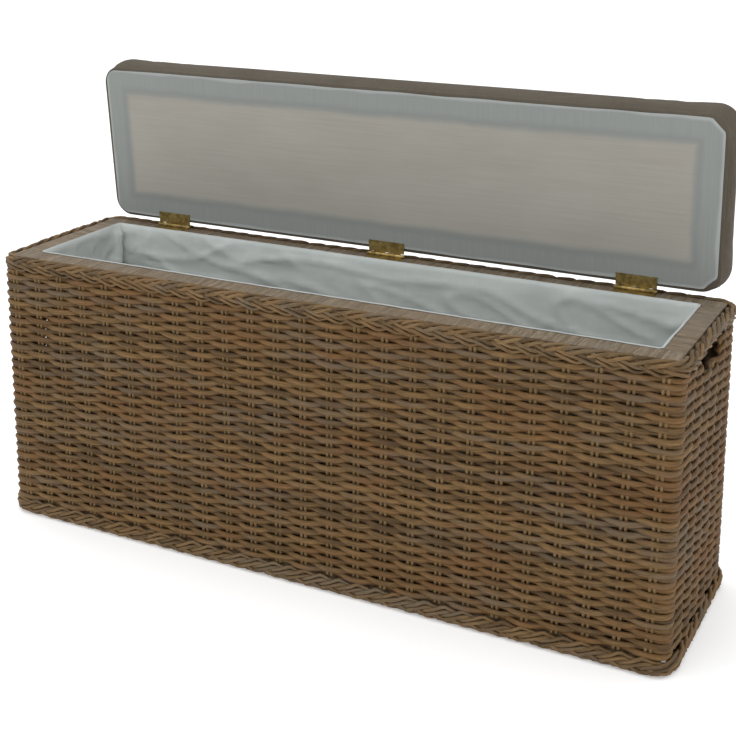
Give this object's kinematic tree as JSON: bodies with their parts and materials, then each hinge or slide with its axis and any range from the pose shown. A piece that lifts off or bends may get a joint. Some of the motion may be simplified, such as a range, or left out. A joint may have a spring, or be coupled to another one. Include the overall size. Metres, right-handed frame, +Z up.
{
  "type": "storage bench",
  "caption": "Woven rattan storage bench with a fabric-lined well and a padded seat lid on brass butt hinges, shown open.",
  "frame": {"origin": "centre of the basket's footprint, on the floor", "axes": "+X along the bench to its right as seen from the front, +Y to the hinged back, +Z up"},
  "size_m": [1.152, 0.3656, 0.7359],
  "materials": {
    "woven_rattan": "weathered round rattan, matt",
    "rattan_rods": "round rattan, matt",
    "border_rattan": "plaited round rattan, matt",
    "bound_rim": "bound with flat cane, satin",
    "frame_timber": "planed softwood",
    "plywood": "raw plywood",
    "liner_cloth": "plain cotton",
    "upholstery": "woven upholstery cloth",
    "dust_cloth": "thin bonded cloth",
    "foam": "open-cell foam",
    "aged_brass": "aged, satin"
  },
  "bodies": {
    "basket": {"weave_front": "woven_rattan", "stakes_front": "rattan_rods", "foot_border_front": "border_rattan", "top_border_front": "border_rattan", "rim_board_front": "bound_rim", "liner_front": "liner_cloth", "weave_back": "woven_rattan", "stakes_back": "rattan_rods", "foot_border_back": "border_rattan", "top_border_back": "border_rattan", "rim_board_back": "bound_rim", "liner_back": "liner_cloth", "weave_left": "woven_rattan", "stakes_left": "rattan_rods", "foot_border_left": "border_rattan", "top_border_left": "border_rattan", "rim_board_left": "bound_rim", "liner_left": "liner_cloth", "weave_right": "woven_rattan", "stakes_right": "rattan_rods", "foot_border_right": "border_rattan", "top_border_right": "border_rattan", "rim_board_right": "bound_rim", "liner_right": "liner_cloth", "liner_bottom": "liner_cloth", "bottom_rail_front": "frame_timber", "bottom_rail_back": "frame_timber", "bottom_rail_left": "frame_timber", "bottom_rail_right": "frame_timber", "top_rail_front": "frame_timber", "centre_post_front": "frame_timber", "corner_post_front_left": "frame_timber", "corner_post_front_right": "frame_timber", "top_rail_back": "frame_timber", "centre_post_back": "frame_timber", "corner_post_back_left": "frame_timber", "corner_post_back_right": "frame_timber", "cross_rail_left": "frame_timber", "cross_rail_centre": "frame_timber", "cross_rail_right": "frame_timber", "base_panel": "plywood", "hinge_left_base_leaf": "aged_brass", "hinge_left_pin": "aged_brass", "hinge_centre_base_leaf": "aged_brass", "hinge_centre_pin": "aged_brass", "hinge_right_base_leaf": "aged_brass", "hinge_right_pin": "aged_brass", "hinge_screws_rim": "aged_brass"},
    "lid": {"hinge_left_lid_leaf": "aged_brass", "hinge_centre_lid_leaf": "aged_brass", "hinge_right_lid_leaf": "aged_brass", "hinge_screws_lid": "aged_brass", "lid_board": "plywood", "foam_pad": "foam", "seat_cover": "upholstery", "dust_cover": "dust_cloth"}
  },
  "joints": [
    {"name": "lid_hinge", "type": "hinge", "parent": "basket", "child": "lid", "pos_m": [0, 0.131, 0.4563], "axis": [1, 0, 0], "range_deg": [0, 86.5]}
  ]
}
